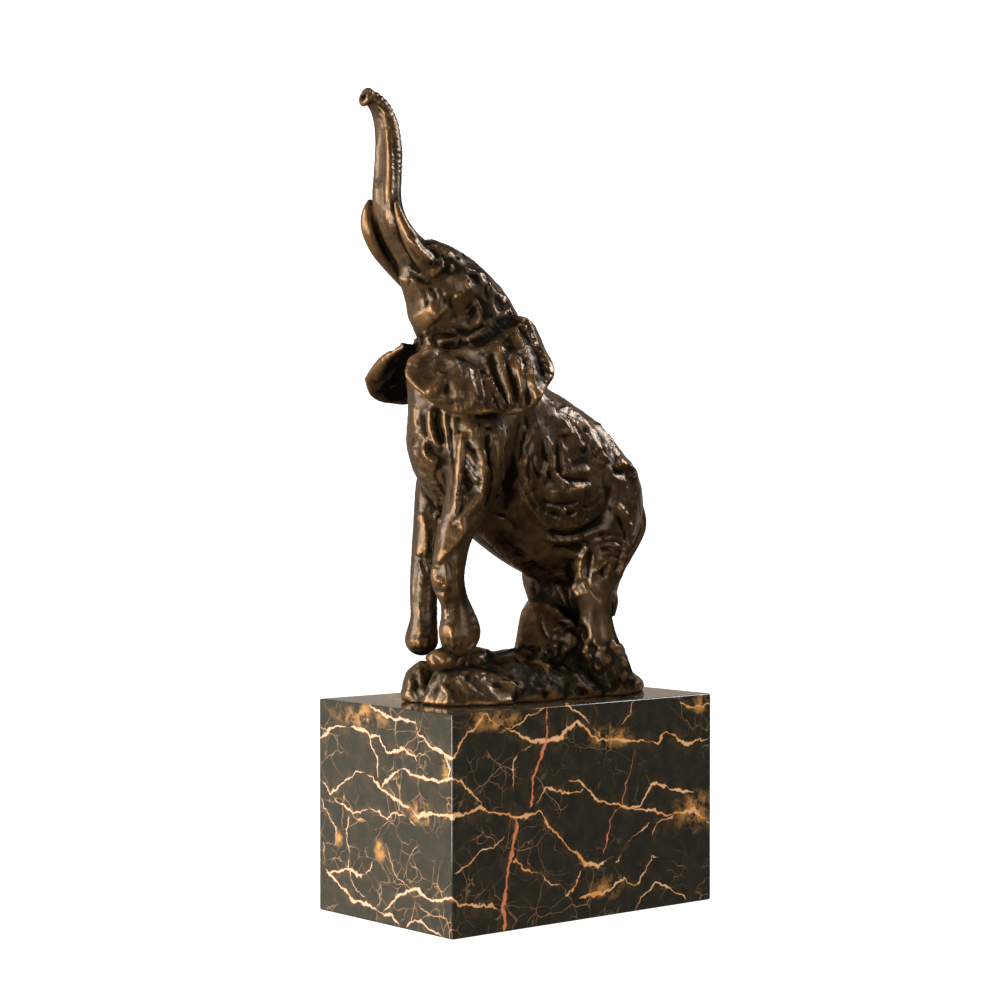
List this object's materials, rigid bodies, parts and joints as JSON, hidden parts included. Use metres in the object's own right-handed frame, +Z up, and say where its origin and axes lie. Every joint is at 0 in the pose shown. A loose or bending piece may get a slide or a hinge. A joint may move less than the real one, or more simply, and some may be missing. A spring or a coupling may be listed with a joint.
{
  "type": "bronze elephant sculpture",
  "caption": "Cast bronze elephant rearing with raised trunk on a rocky ground, fixed on a rectangular block of polished veined marble.",
  "frame": {"origin": "centre of the marble block's underside", "axes": "+Z up, the elephant faces -Y along the block's length, +X is the elephant's left side"},
  "size_m": [0.09, 0.1491, 0.3439],
  "materials": {
    "bronze": "dark brown patinated cast bronze, semi-gloss wax, rubbed golden on its edges",
    "marble": "polished near-black marble with gold, orange and cream veins"
  },
  "bodies": {
    "root": {"bronze_elephant": "bronze", "marble_plinth": "marble"}
  },
  "joints": []
}
